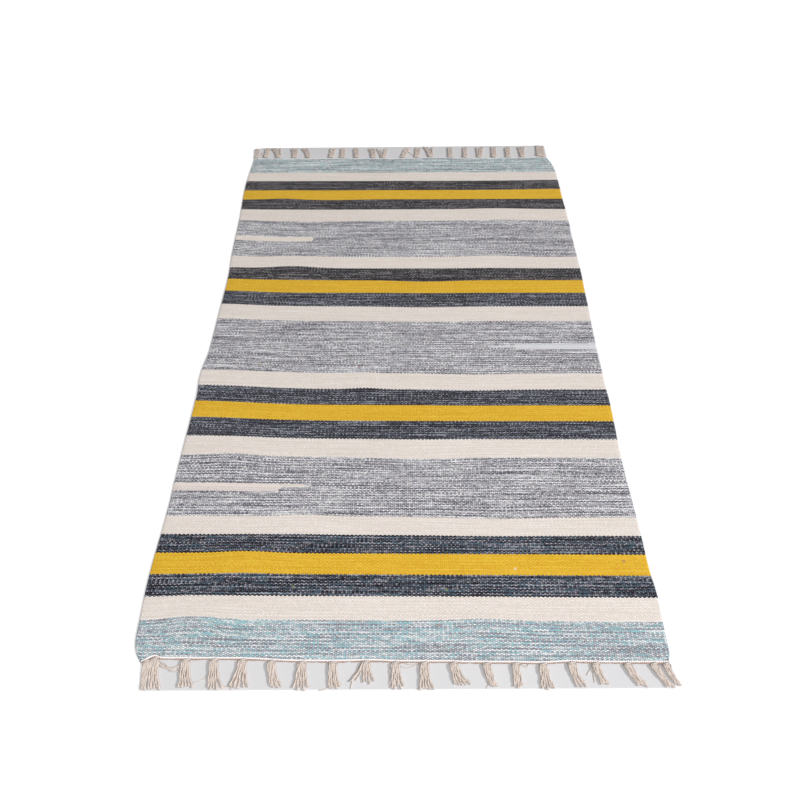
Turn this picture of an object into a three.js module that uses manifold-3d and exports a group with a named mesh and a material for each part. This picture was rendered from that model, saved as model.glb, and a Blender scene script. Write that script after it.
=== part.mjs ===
// A hand-loomed kilim rug of cotton, lying flat, with a twined heading and knotted tassels at both ends.
// Millimetres. X runs across the rug, Y along it and Z up. The floor is at Z = 0.

import * as THREE from "three";
import { mergeVertices } from "three/addons/utils/BufferGeometryUtils.js";
import Module from "manifold-3d";

const wasm = await Module();
wasm.setup();

// Driving dimensions

const RUG_WIDTH = 900; // from selvedge to selvedge
const RUG_LENGTH = 1500; // over both headings, without the tassels
const CLOTH_THICKNESS = 4; // a weft-faced weave of 2 mm cotton over a 1.2 mm warp
const CLOTH_ROUNDING = 1.2; // how far the edges of the cloth are rounded over
const HEADING_WIDTH = 3.4; // one twined row of the warp cotton
const HEADING_HEIGHT = 3.6;
const PIECE_GAP = 0.3; // between pieces that lie against each other
const KNOT = { width: 11, length: 9, height: 5.4, sides: 6, rings: 4 };
const KNOT_FLAT = Math.cos(Math.PI / KNOT.sides); // how far out its flat back lies, as a share of its half
const SEAT_STEPS = 8; // places across a knot's back that are tried against the heading
const STRAND = { count: 5, steps: 2, rootWidth: 2.1, tipWidth: 2.9, rootHeight: 3.8, tipHeight: 2.1 };
const STRAND_TOP = 0.55; // how wide a strand is along its top, as a share of its foot
const STRAND_ROOTS = 0.8; // the share of a knot's width that its strands start from
const STRAND_BEND = { aside: 0.3, ahead: 0.55 }; // where a strand turns, as shares of its way to the tip
const STRAND_TRIM = 4; // how unevenly the tips are cut
const EASE_STEPS = 4; // straight steps from one row of an edge's table to the next
const HEADING_SIDES = 6;

const COLOURS = {
  cloth: 0xb9b4b0,
  heading: 0xeee6df,
  tassels: 0xcbbcae,
};

// How far each selvedge bulges out from a straight edge, a row for each bulge or hollow.
const LEFT_SELVEDGE = [
  { along: -750, bulge: -1 },
  { along: -708, bulge: -3.6 },
  { along: -600, bulge: 0 },
  { along: -450, bulge: -4 },
  { along: -400, bulge: -3.2 },
  { along: -180, bulge: -5.2 },
  { along: -128, bulge: -1.4 },
  { along: -108, bulge: -1.8 },
  { along: -42, bulge: -8.4 },
  { along: 195, bulge: -10 },
  { along: 330, bulge: -3.6 },
  { along: 400, bulge: -2.4 },
  { along: 615, bulge: 6.3 },
  { along: 750, bulge: 0.6 },
];
const RIGHT_SELVEDGE = [
  { along: -750, bulge: 1 },
  { along: -715, bulge: 3 },
  { along: -630, bulge: 4.6 },
  { along: -575, bulge: 0.6 },
  { along: -520, bulge: 0.8 },
  { along: -350, bulge: -3 },
  { along: -190, bulge: -0.3 },
  { along: -150, bulge: -1.4 },
  { along: -20, bulge: -1.6 },
  { along: 120, bulge: 1.4 },
  { along: 250, bulge: 3.4 },
  { along: 350, bulge: 1.6 },
  { along: 450, bulge: 2.4 },
  { along: 560, bulge: -1 },
  { along: 640, bulge: -1.5 },
  { along: 750, bulge: -3 },
];

// How far the outer side of each heading bulges out from a straight end, a row for each hump or dip.
const NEAR_HEADING = [
  { across: -429, bulge: 2 },
  { across: -408, bulge: -7.5 },
  { across: -394, bulge: -4.2 },
  { across: -262, bulge: -4.6 },
  { across: -170, bulge: -1.2 },
  { across: -115, bulge: -1.2 },
  { across: -40, bulge: -3 },
  { across: 0, bulge: -1.6 },
  { across: 85, bulge: -2 },
  { across: 112, bulge: -1 },
  { across: 190, bulge: -1.2 },
  { across: 232, bulge: -0.6 },
  { across: 290, bulge: -3.4 },
  { across: 345, bulge: -2.4 },
  { across: 450, bulge: -2.8 },
];
const FAR_HEADING = [
  { across: -450, bulge: -1 },
  { across: -403, bulge: 2 },
  { across: -263, bulge: -1 },
  { across: -175, bulge: 0 },
  { across: -39, bulge: -3 },
  { across: 85, bulge: 2 },
  { across: 187, bulge: -1 },
  { across: 380, bulge: 0 },
  { across: 402, bulge: 6 },
  { across: 425, bulge: -1 },
];

// Two corners are drawn in: by how much at the very end, over what length, and how late.
const NEAR_LEFT_PULL = { inward: 19, reach: 60, lateness: 3 };
const FAR_RIGHT_PULL = { inward: 15, reach: 100, lateness: 2.4 };

// Each tassel: its place on the heading, how far its tip leans, how wide it fans, how long it is, and how
// far its last strand strays from the others. Where the stray is below zero, the first strand strays.
const NEAR_TASSELS = [
  { across: -417, lean: 3, fan: 6, length: 50, stray: 0 },
  { across: -405, lean: 9, fan: 19, length: 54, stray: 0 },
  { across: -353, lean: 8, fan: 24, length: 50, stray: 0 },
  { across: -306, lean: 8, fan: 22, length: 52, stray: 3 },
  { across: -258, lean: -1, fan: 31, length: 51, stray: 0 },
  { across: -210, lean: 12, fan: 17, length: 46, stray: 0 },
  { across: -159, lean: 2, fan: 26, length: 48, stray: 0 },
  { across: -108, lean: 6, fan: 18, length: 47, stray: 0 },
  { across: -53, lean: 3, fan: 24, length: 38, stray: -16 },
  { across: -4, lean: 5, fan: 20, length: 46, stray: 0 },
  { across: 44, lean: 3, fan: 23, length: 48, stray: 0 },
  { across: 93, lean: 13, fan: 25, length: 40, stray: 0 },
  { across: 147, lean: 10, fan: 10, length: 42, stray: 0 },
  { across: 195, lean: 1, fan: 13, length: 42, stray: 0 },
  { across: 240, lean: 4, fan: 20, length: 44, stray: 0 },
  { across: 287, lean: 12, fan: 15, length: 41, stray: 0 },
  { across: 327, lean: 10, fan: 12, length: 38, stray: 0 },
  { across: 379, lean: 19, fan: 16, length: 39, stray: 0 },
  { across: 423, lean: 20, fan: 12, length: 42, stray: 0 },
  { across: 443, lean: 12, fan: 9, length: 38, stray: 0 },
];
const FAR_TASSELS = [
  { across: -445, lean: -4, fan: 16, length: 56, stray: 0 },
  { across: -416, lean: -1, fan: 13, length: 55, stray: 0 },
  { across: -378, lean: -19, fan: 19, length: 57, stray: 10 },
  { across: -329, lean: -6, fan: 20, length: 56, stray: 0 },
  { across: -286, lean: -18, fan: 17, length: 57, stray: 0 },
  { across: -218, lean: 2, fan: 19, length: 56, stray: 0 },
  { across: -184, lean: -2, fan: 13, length: 57, stray: 0 },
  { across: -141, lean: -6, fan: 15, length: 57, stray: 0 },
  { across: -90, lean: -8, fan: 20, length: 58, stray: 0 },
  { across: -60, lean: 6, fan: 12, length: 57, stray: -22 },
  { across: -1, lean: 15, fan: 17, length: 59, stray: 0 },
  { across: 41, lean: 5, fan: 17, length: 58, stray: 0 },
  { across: 83, lean: -14, fan: 15, length: 60, stray: 12 },
  { across: 142, lean: 0, fan: 13, length: 59, stray: 0 },
  { across: 187, lean: 1, fan: 11, length: 61, stray: 0 },
  { across: 230, lean: 8, fan: 16, length: 61, stray: -8 },
  { across: 274, lean: 1, fan: 15, length: 61, stray: 0 },
  { across: 316, lean: 2, fan: 16, length: 60, stray: 0 },
  { across: 360, lean: -1, fan: 22, length: 62, stray: 0 },
  { across: 409.5, lean: 1, fan: 9, length: 64, stray: 0 },
  { across: 420.8, lean: 2, fan: 9, length: 64, stray: 0 },
];

// Lines of the rug's outline

// A table's rows as one line that eases from row to row.
function easedLine(rows, key) {
  const line = [];
  rows.slice(1).forEach((to, index) => {
    const from = rows[index];
    for (let step = 0; step < EASE_STEPS; step++) {
      const share = step / EASE_STEPS;
      const at = THREE.MathUtils.lerp(from[key], to[key], share);
      const eased = THREE.MathUtils.smoothstep(share, 0, 1);
      line.push({ at, bulge: THREE.MathUtils.lerp(from.bulge, to.bulge, eased) });
    }
  });
  const last = rows.at(-1);
  line.push({ at: last[key], bulge: last.bulge });
  return line;
}

function bulgeAt(line, place) {
  const next = line.findIndex((point) => point.at > place);
  if (next < 0) return line.at(-1).bulge;
  if (next === 0) return line[0].bulge;
  const from = line[next - 1];
  const to = line[next];
  return THREE.MathUtils.mapLinear(place, from.at, to.at, from.bulge, to.bulge);
}

function cornerPull(pull, distance) {
  const share = THREE.MathUtils.clamp(1 - distance / pull.reach, 0, 1);
  return pull.inward * share ** pull.lateness;
}

const leftLine = easedLine(LEFT_SELVEDGE, "along");
const rightLine = easedLine(RIGHT_SELVEDGE, "along");
const headingLines = {
  near: easedLine(NEAR_HEADING, "across"),
  far: easedLine(FAR_HEADING, "across"),
};
const OUTWARD = { near: -1, far: 1 };

const leftAt = (along) =>
  -RUG_WIDTH / 2 - bulgeAt(leftLine, along) + cornerPull(NEAR_LEFT_PULL, along + RUG_LENGTH / 2);

const rightAt = (along) =>
  RUG_WIDTH / 2 + bulgeAt(rightLine, along) - cornerPull(FAR_RIGHT_PULL, RUG_LENGTH / 2 - along);

// The middle line of an end's heading.
function headingAt(end, across) {
  const outerSide = RUG_LENGTH / 2 + bulgeAt(headingLines[end], across);
  return OUTWARD[end] * (outerSide - HEADING_WIDTH / 2);
}

const clothEndAt = (end, across) =>
  headingAt(end, across) - OUTWARD[end] * (HEADING_WIDTH / 2 + PIECE_GAP);

// The places across the rug where an end's line may turn, from selvedge to selvedge.
function endStations(end) {
  const along = (OUTWARD[end] * RUG_LENGTH) / 2;
  const left = leftAt(along);
  const right = rightAt(along);
  const between = headingLines[end].map((point) => point.at);
  return [left, ...between.filter((across) => across > left + 1 && across < right - 1), right];
}

// The cloth's outline, anticlockwise from its near left corner.
function clothOutline() {
  const endPoint = (end) => (across) => new THREE.Vector2(across, clothEndAt(end, across));
  const sidePoint = (sideAt) => (along) => new THREE.Vector2(sideAt(along), along);
  const inner = (line) => line.map((point) => point.at).slice(1, -1);
  return [
    ...endStations("near").map(endPoint("near")),
    ...inner(rightLine).map(sidePoint(rightAt)),
    ...endStations("far").reverse().map(endPoint("far")),
    ...inner(leftLine).reverse().map(sidePoint(leftAt)),
  ];
}

// Solids

function solidOf(geometry) {
  geometry.deleteAttribute("normal");
  geometry.deleteAttribute("uv");
  const merged = mergeVertices(geometry, 1e-3);
  return new wasm.Manifold(
    new wasm.Mesh({
      numProp: 3,
      vertProperties: new Float32Array(merged.attributes.position.array),
      triVerts: new Uint32Array(merged.index.array),
    }),
  );
}

function geometryOf(solid) {
  const mesh = solid.getMesh();
  const geometry = new THREE.BufferGeometry();
  geometry.setAttribute("position", new THREE.BufferAttribute(mesh.vertProperties, 3));
  geometry.setIndex(new THREE.BufferAttribute(mesh.triVerts, 1));
  geometry.computeVertexNormals();
  return geometry;
}

// The flat weave in one piece, its edges rounded over.
function clothGeometry() {
  const cloth = new THREE.ExtrudeGeometry(new THREE.Shape(clothOutline()), {
    depth: CLOTH_THICKNESS - 2 * CLOTH_ROUNDING,
    bevelThickness: CLOTH_ROUNDING,
    bevelSize: CLOTH_ROUNDING,
    bevelOffset: -CLOTH_ROUNDING,
    bevelSegments: 1,
  });
  return cloth.translate(0, 0, CLOTH_ROUNDING);
}

// A cord laid along the end of the cloth. Its section is turned so that a flat lies on the floor.
function headingGeometry(end) {
  const stations = endStations(end);
  const steps = stations.length - 1;
  const cord = new THREE.CylinderGeometry(0.5, 0.5, 1, HEADING_SIDES, steps);
  cord.rotateY(Math.PI / HEADING_SIDES);
  cord.rotateZ(-Math.PI / 2);
  const flat = Math.cos(Math.PI / HEADING_SIDES);
  const position = cord.attributes.position;
  for (let i = 0; i < position.count; i++) {
    const across = stations[Math.round((position.getX(i) + 0.5) * steps)];
    const along = headingAt(end, across) + position.getY(i) * HEADING_WIDTH;
    const up = (0.5 + position.getZ(i) / flat) * HEADING_HEIGHT;
    position.setXYZ(i, across, along, up);
  }
  return cord;
}

// A small even wander between -1 and 1, the same on each run.
const wander = (a, b) => Math.sin(12.9 * a + 78.2 * b);

// One strand, resting level on the floor along its route, thicker at its root than at its tip.
function strandSolid(route) {
  const strand = new THREE.BoxGeometry(1, 1, 1, 1, STRAND.steps, 1);
  const position = strand.attributes.position;
  for (let i = 0; i < position.count; i++) {
    const share = position.getY(i) + 0.5;
    const top = position.getZ(i) > 0;
    const point = route.getPoint(share);
    const ahead = route.getTangent(share);
    const height = THREE.MathUtils.lerp(STRAND.rootHeight, STRAND.tipHeight, Math.sqrt(share));
    const width = THREE.MathUtils.lerp(STRAND.rootWidth, STRAND.tipWidth, share);
    const aside = position.getX(i) * width * (top ? STRAND_TOP : 1);
    position.setXYZ(i, point.x + ahead.y * aside, point.y - ahead.x * aside, top ? height : 0);
  }
  return solidOf(strand);
}

// The knot: a ball that is widest where the heading is, and flat where it lies on the floor.
function knotSolid() {
  const knot = new THREE.SphereGeometry(1, KNOT.sides, KNOT.rings);
  knot.rotateX(Math.PI / 2);
  const position = knot.attributes.position;
  const waist = HEADING_HEIGHT / 2;
  for (let i = 0; i < position.count; i++) {
    const across = (position.getX(i) * KNOT.width) / 2;
    const along = (position.getY(i) * KNOT.length) / 2;
    const up = Math.max(0, waist + position.getZ(i) * (KNOT.height - waist));
    position.setXYZ(i, across, along, up);
  }
  return solidOf(knot);
}

// A tassel with its knot at the origin and its strands pointing out from its end of the rug.
function tasselGeometry(tassel, end, index) {
  const outward = OUTWARD[end];
  const strayed = tassel.stray < 0 ? 0 : STRAND.count - 1;
  let solid = knotSolid();
  for (let i = 0; i < STRAND.count; i++) {
    const side = (2 * i) / (STRAND.count - 1) - 1;
    const root = (side * KNOT.width * STRAND_ROOTS) / 2;
    const stray = i === strayed ? tassel.stray : 0;
    const tip = tassel.lean + (side * tassel.fan) / 2 + stray;
    const trim = (STRAND_TRIM * (1 + wander(index, i))) / 2;
    const length = tassel.length - KNOT.length / 2 - trim;
    const start = new THREE.Vector2(root, 0);
    const turn = THREE.MathUtils.lerp(root, tip, STRAND_BEND.aside);
    const bend = new THREE.Vector2(turn, outward * STRAND_BEND.ahead * length);
    const finish = new THREE.Vector2(tip, outward * length);
    solid = solid.add(strandSolid(new THREE.QuadraticBezierCurve(start, bend, finish)));
  }
  return geometryOf(solid);
}

// The rug

const finish = (color) => new THREE.MeshStandardMaterial({ color, roughness: 0.95, metalness: 0 });
const clothFinish = finish(COLOURS.cloth);
const headingFinish = finish(COLOURS.heading);
const tasselFinish = finish(COLOURS.tassels);

function piece(name, geometry, material) {
  const mesh = new THREE.Mesh(geometry, material);
  mesh.name = name;
  return mesh;
}

// Where a knot's middle lies, so that its back rests against the heading. The back is tried step by
// step across its width, and the place that meets the heading first seats it.
function knotMiddleAt(end, across) {
  const outward = OUTWARD[end];
  const reaches = [];
  for (let step = 0; step <= SEAT_STEPS; step++) {
    const share = (2 * step) / SEAT_STEPS - 1;
    const middle = headingAt(end, across + (share * KNOT.width) / 2);
    const back = (KNOT_FLAT * Math.min(1, 2 - 2 * Math.abs(share)) * KNOT.length) / 2;
    reaches.push(outward * middle + HEADING_WIDTH / 2 + PIECE_GAP + back);
  }
  return outward * Math.max(...reaches);
}

// One end of the rug: its heading, and its tassels against the heading's outer side.
function rugEnd(end, tassels) {
  const group = new THREE.Group();
  group.add(piece(end + "_heading", headingGeometry(end), headingFinish));
  tassels.forEach((tassel, index) => {
    const number = String(index + 1).padStart(2, "0");
    const mesh = piece(end + "_tassel_" + number, tasselGeometry(tassel, end, index), tasselFinish);
    mesh.position.set(tassel.across, knotMiddleAt(end, tassel.across), 0);
    group.add(mesh);
  });
  return group;
}

const rug = new THREE.Group();
rug.add(piece("woven_body", clothGeometry(), clothFinish));
rug.add(rugEnd("near", NEAR_TASSELS));
rug.add(rugEnd("far", FAR_TASSELS));

// The origin is under the middle of the rug with its tassels, on the floor.
const middle = new THREE.Box3().setFromObject(rug).getCenter(new THREE.Vector3());
rug.position.set(-middle.x, -middle.y, 0);
const part = new THREE.Group();
part.add(rug);

export default part;
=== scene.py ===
# %% [markdown]
# A kilim rug of cotton, dressed over its CAD solids. The solids give the rug its size, its uneven
# outline and the place of every tassel. This lesson adds what the eye looks for in a hand-loomed rug:
# the small beads of the weave, the marled yarns, the twined headings, the looped selvedges and the
# yarns of each tassel. Every length below is in millimetres and is turned to metres by MM.

import math
import random

import bpy
import numpy as np
from mathutils import Matrix, Vector
from mathutils.bvhtree import BVHTree


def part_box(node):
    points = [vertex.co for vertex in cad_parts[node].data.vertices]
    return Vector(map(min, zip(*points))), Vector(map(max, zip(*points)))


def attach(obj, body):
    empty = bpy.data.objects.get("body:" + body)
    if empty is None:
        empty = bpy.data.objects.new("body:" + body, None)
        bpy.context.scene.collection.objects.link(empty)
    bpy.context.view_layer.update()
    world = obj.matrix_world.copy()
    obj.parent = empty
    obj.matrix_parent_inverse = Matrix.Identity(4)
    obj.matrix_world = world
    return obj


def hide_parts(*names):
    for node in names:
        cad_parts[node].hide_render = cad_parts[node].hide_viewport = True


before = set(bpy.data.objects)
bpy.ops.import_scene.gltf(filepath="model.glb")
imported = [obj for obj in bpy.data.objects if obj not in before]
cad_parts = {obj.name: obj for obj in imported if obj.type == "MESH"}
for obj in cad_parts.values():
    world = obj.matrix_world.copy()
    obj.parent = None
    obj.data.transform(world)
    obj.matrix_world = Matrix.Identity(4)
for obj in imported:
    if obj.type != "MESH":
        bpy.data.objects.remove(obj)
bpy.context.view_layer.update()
MM = 0.001
dice = random.Random(7)
print("CAD nodes:", len(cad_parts))

# %% [markdown]
# The camera comes first, because every later choice is judged through it. The rug was photographed by
# someone standing at its near end, looking down at about fifty degrees with a short lens. A rug has
# four corners whose places are known, so the camera's place, turn and lens can be worked out from
# where the corners fall in the picture. A camera can be aimed with a Track To constraint, but a
# matrix keeps the slight roll of a hand-held shot, so its three axes are written out here.

# %% Camera
CAMERA_PLACE = (17.9, -1135.6, 1170.3)  # from the middle of the woven part, on the floor
CAMERA_PITCH = math.radians(51.0)  # downwards
CAMERA_YAW = math.radians(-1.18)
CAMERA_ROLL = math.radians(-0.83)
CAMERA_LENS = 31.22
CAMERA_SENSOR = 36.0  # how wide the picture is behind the lens
CAMERA_SIGHT = 50.0  # how far the camera sees, in metres
LEFT_BULGE = 6.3  # how far the left selvedge stands out past half of the rug's 900 mm
NEAR_BULGE = 2.0  # how far the near heading stands out past half of the rug's 1500 mm
HALF_WIDTH = 450.0
HALF_LENGTH = 750.0

cloth_low, cloth_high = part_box("woven_body")
near_low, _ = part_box("near_heading")
weave_x = cloth_low.x + (HALF_WIDTH + LEFT_BULGE) * MM
weave_y = near_low.y + (HALF_LENGTH + NEAR_BULGE) * MM
middle_of_weave = Vector((weave_x, weave_y, 0))

forward = Vector(
    (
        math.sin(CAMERA_YAW) * math.cos(CAMERA_PITCH),
        math.cos(CAMERA_YAW) * math.cos(CAMERA_PITCH),
        -math.sin(CAMERA_PITCH),
    )
)
level_right = Vector((math.cos(CAMERA_YAW), -math.sin(CAMERA_YAW), 0))
level_up = level_right.cross(forward)
right = level_right * math.cos(CAMERA_ROLL) + level_up * math.sin(CAMERA_ROLL)
up = level_up * math.cos(CAMERA_ROLL) - level_right * math.sin(CAMERA_ROLL)

camera_data = bpy.data.cameras.new("camera")
camera_data.sensor_width = CAMERA_SENSOR
camera_data.lens = CAMERA_LENS
camera_data.clip_end = CAMERA_SIGHT
camera = bpy.data.objects.new("camera", camera_data)
bpy.context.scene.collection.objects.link(camera)
camera.matrix_world = Matrix((right, up, -forward)).transposed().to_4x4()
camera.location = middle_of_weave + Vector(CAMERA_PLACE) * MM
bpy.context.scene.camera = camera
print("camera at", [round(value, 4) for value in camera.location])

# %% [markdown]
# The edges of the cloth aren't straight, so the sheet has to follow them. Its outline could be typed
# in again, but the CAD solid already holds it. A ray sent at a solid from outside stops at its edge,
# as a fingertip does that feels for the edge of a rug. A ray that passes just beyond a corner goes on
# and stops at some other edge, so a hit far from the edge's usual place is dropped. A row of such rays
# gives each edge as a line, and numpy's interp reads the line anywhere between them.

# %% Feel for the edges
CLOTH_THICKNESS = (cloth_high.z - cloth_low.z) / MM
FEEL_HEIGHT = CLOTH_THICKNESS / 2
FEEL_STEP = 4.0
FEEL_FROM = 2000.0
FEEL_PAST = (10.0, 6.0)  # how far past the corners the rays go on, across and along
EDGE_STRAY = (30.0, 14.0)  # a selvedge or an end strays no further from its usual place than this
TO_FRAME = Vector((middle_of_weave.x / MM, middle_of_weave.y / MM, 0))


def search_tree(node):
    """The faces of a CAD solid, ready to be hit by rays."""
    return BVHTree.FromObject(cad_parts[node], bpy.context.evaluated_depsgraph_get())


def felt_edge(tree, axis, side, stations):
    """Where a solid's edge lies at each station. axis is 0 for a selvedge and 1 for an end, and side
    is -1 or 1. Places are in millimetres from the middle of the weave."""
    found = []
    for station in stations:
        start = [0, 0, FEEL_HEIGHT]
        start[axis] = side * FEEL_FROM
        start[1 - axis] = station
        heading = [0, 0, 0]
        heading[axis] = -side
        hit = tree.ray_cast((Vector(start) + TO_FRAME) * MM, Vector(heading))[0]
        found.append(hit[axis] / MM - TO_FRAME[axis] if hit else math.nan)
    found = np.array(found)
    good = np.abs(found - np.nanmedian(found)) < EDGE_STRAY[axis]
    return np.array(stations)[good], found[good]


cloth_tree = search_tree("woven_body")
across_stations = np.arange(-HALF_WIDTH - FEEL_PAST[0], HALF_WIDTH + FEEL_PAST[0], FEEL_STEP)
along_stations = np.arange(-HALF_LENGTH - FEEL_PAST[1], HALF_LENGTH + FEEL_PAST[1], FEEL_STEP)
left_edge = felt_edge(cloth_tree, 0, -1, along_stations)
right_edge = felt_edge(cloth_tree, 0, 1, along_stations)
near_edge = felt_edge(cloth_tree, 1, -1, across_stations)
far_edge = felt_edge(cloth_tree, 1, 1, across_stations)
for label, edge in zip(("left", "right", "near", "far"), (left_edge, right_edge, near_edge, far_edge)):
    print(label, "edge from", edge[1].min().round(1), "to", edge[1].max().round(1), "mm")

# %% [markdown]
# A weaver beats each pick of weft down with a comb. Where the beat is weak the picks ride up, and
# where it is strong they sink, so the stripes of a hand-loomed rug wave by a few millimetres. Each
# row of the table below is one such place, a soft hill with a half width and a half length. The same
# table bends the picks and, more gently, swells the cloth, because picks that are pushed together
# have nowhere to go but up. All lengths are in millimetres from the middle of the weave.

# %% Uneven beating
def table(columns, *rows):
    """A table as one dictionary for each row, so that its columns are named only once."""
    return [dict(zip(columns.split(), row)) for row in rows]


BEATS = table(
    "across along half_width half_length push",
    (-450, -160, 170, 190, 11),
    (-450, 130, 110, 110, 7),
    (-450, 360, 60, 110, 6),
    (-280, 255, 75, 38, 8),
    (60, 190, 90, 30, -6),
    (60, 75, 110, 50, -5),
    (160, -140, 90, 60, -4),
    (-80, -140, 40, 40, 4),
    (230, 290, 70, 40, 5),
    (260, 465, 90, 50, 5),
    (-240, 440, 90, 45, -4),
    (-200, 540, 80, 35, -4),
    (-340, 540, 50, 30, 4),
    (440, 605, 120, 50, 4),
    (-340, -341, 60, 45, 5),
    (40, -345, 90, 45, -5),
    (180, -480, 110, 40, -4),
    (-180, -480, 60, 35, 3),
    (-280, -560, 60, 35, 4),
    (-355, -685, 55, 30, 6),
    (140, -685, 60, 30, 4),
    (-440, -650, 50, 60, -3),
)
SWELL_SHARE = 0.13  # how much of a push comes up as height


def pushed(across, along):
    """How far the picks are pushed towards the far end, at places given as numbers or arrays."""
    total = 0.0
    for beat in BEATS:
        away = ((across - beat["across"]) / beat["half_width"]) ** 2
        away = away + ((along - beat["along"]) / beat["half_length"]) ** 2
        total = total + beat["push"] * np.exp(-away)
    return total


def swell(across, along):
    """How high the cloth rises off the floor."""
    return SWELL_SHARE * np.abs(pushed(across, along))


print("picks pushed by up to", round(float(pushed(-450, -160)), 1), "mm")

# %% [markdown]
# The woven body is one thin sheet, and its form is worked out before it is made. A place on it is a
# share of the cloth's width and a share of its length. Both run evenly, apart from a few fine rows
# along each edge, where the cloth is rounded. The shares are then carried onto the felt edges, which
# no single operator does. The width depends on how far along a place is, and the length on how far
# across, so a few rounds are needed until both agree.

# %% The sheet's form
ACROSS_CELLS = 132
ALONG_CELLS = 216
RIM_CELLS = 3  # fine rows inside each edge, which carry its rounding
RIM_WIDTH = 2.2
RIM_CROWDING = 1.5  # how strongly those rows crowd towards the edge
RIM_LEAST = 0.25  # the sheet's thickness at its very edge, as a share of its whole thickness
CLOTH_ROUNDS = 4


def edge_shares(cells, length):
    """Shares from 0 to 1 with a few fine steps at both ends, for the rounding of the rim."""
    rim = RIM_WIDTH / length * np.linspace(0, 1, RIM_CELLS + 1) ** RIM_CROWDING
    inner = np.linspace(rim[-1], 1 - rim[-1], cells + 1 - 2 * RIM_CELLS)
    return np.concatenate([rim[:-1], inner, 1 - rim[:-1][::-1]])


def on_the_cloth(across_share, along_share):
    """Carries shares of the cloth's width and length onto its uneven outline."""
    along = (along_share * 2 - 1) * HALF_LENGTH
    across = (across_share * 2 - 1) * HALF_WIDTH
    for _ in range(CLOTH_ROUNDS):
        left = np.interp(along, *left_edge)
        right = np.interp(along, *right_edge)
        across = left + (right - left) * across_share
        near = np.interp(across, *near_edge)
        far = np.interp(across, *far_edge)
        along = near + (far - near) * along_share
    return across, along


def rim_share(across_share, along_share):
    """How thick the sheet is, from RIM_LEAST at its edge to 1 inside its rounded rim."""
    in_from_side = np.minimum(across_share, 1 - across_share) * 2 * HALF_WIDTH
    in_from_end = np.minimum(along_share, 1 - along_share) * 2 * HALF_LENGTH
    inwards = np.clip(np.minimum(in_from_side, in_from_end) / RIM_WIDTH, 0, 1)
    return RIM_LEAST + (1 - RIM_LEAST) * np.sqrt(1 - (1 - inwards) ** 2)


print("cloth cells:", ACROSS_CELLS, "by", ALONG_CELLS)

# %% [markdown]
# Every piece below needs the same few things. An operator acts on all that is selected, so there has
# to be a way to select nothing first. Vertices are read and written all at once, which is much
# quicker than one by one. A UV map tells a material where in the weave, or where along its yarn, a
# place is, and it is stored for each corner of each face.

# %% Helpers for meshes
def deselect_everything():
    """Leaves nothing selected, so that an operator acts only on what comes next."""
    if bpy.context.object and bpy.context.object.mode != "OBJECT":
        bpy.ops.object.mode_set(mode="OBJECT")
    bpy.ops.object.select_all(action="DESELECT")


def joined(pieces, name):
    """Joins pieces into the first one, and leaves it selected."""
    deselect_everything()
    for piece in pieces:
        piece.select_set(True)
    bpy.context.view_layer.objects.active = pieces[0]
    bpy.ops.object.join()
    pieces[0].name = name
    pieces[0].data.name = name
    bpy.ops.object.shade_smooth()
    return pieces[0]


def straight_points(mesh):
    """The vertices of a piece as they were made, before it is laid in its place."""
    flat = np.empty(len(mesh.vertices) * 3)
    mesh.vertices.foreach_get("co", flat)
    return flat.reshape(-1, 3)


def place_points(mesh, points):
    """Writes vertices that are given in millimetres from the middle of the weave."""
    mesh.vertices.foreach_set("co", ((points + np.array(TO_FRAME)) * MM).ravel())
    mesh.update()


def corner_vertices(mesh):
    """Which vertex each corner of each face stands on."""
    corners = np.empty(len(mesh.loops), dtype=int)
    mesh.loops.foreach_get("vertex_index", corners)
    return corners


def write_map(mesh, name, per_vertex):
    """Writes a UV map from one pair of numbers for each vertex."""
    layer = mesh.uv_layers.get(name) or mesh.uv_layers.new(name=name)
    layer.data.foreach_set("uv", per_vertex[corner_vertices(mesh)].ravel())


deselect_everything()
print("selected now:", len(bpy.context.selected_objects))

# %% [markdown]
# The sheet starts as a flat grid with a vertex wherever the outline or a wave may turn. It gets its
# back by an extrusion, so that it is a closed sheet like the real cloth. Each vertex still says by its
# place in the grid which column and row it is in, and so where on the cloth it goes. The two faces
# draw together at the rim, where the weft turns round the last warp. The map "weave" says where in
# the weave each vertex is, as it was before the beating pushed the picks.

# %% Woven body
deselect_everything()
bpy.ops.mesh.primitive_grid_add(x_subdivisions=ACROSS_CELLS, y_subdivisions=ALONG_CELLS, size=2)
cloth = bpy.context.object
cloth.name = "woven_cloth"
cloth.data.name = "woven_cloth"
bpy.ops.object.mode_set(mode="EDIT")
bpy.ops.mesh.select_all(action="SELECT")
bpy.ops.mesh.extrude_region_move(TRANSFORM_OT_translate={"value": (0, 0, -1)})
bpy.ops.mesh.select_all(action="SELECT")
bpy.ops.mesh.normals_make_consistent(inside=False)
bpy.ops.object.mode_set(mode="OBJECT")

grid = straight_points(cloth.data)  # from -1 to 1 both ways, its face at 0 and its back at -1
column = np.rint((grid[:, 0] + 1) / 2 * ACROSS_CELLS).astype(int)
row = np.rint((grid[:, 1] + 1) / 2 * ALONG_CELLS).astype(int)
is_face = grid[:, 2] > -0.5
across_shares = edge_shares(ACROSS_CELLS, 2 * HALF_WIDTH)[column]
along_shares = edge_shares(ALONG_CELLS, 2 * HALF_LENGTH)[row]
across, along = on_the_cloth(across_shares, along_shares)
thickness = CLOTH_THICKNESS * rim_share(across_shares, along_shares)
middle_height = CLOTH_THICKNESS / 2 + swell(across, along)
height = middle_height + np.where(is_face, thickness, -thickness) / 2
place_points(cloth.data, np.column_stack([across, along, height]))
write_map(cloth.data, "weave", np.column_stack([across, along - pushed(across, along)]) * MM)
deselect_everything()
cloth.select_set(True)
bpy.ops.object.shade_smooth()
print("woven cloth:", len(cloth.data.polygons), "faces")

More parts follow.
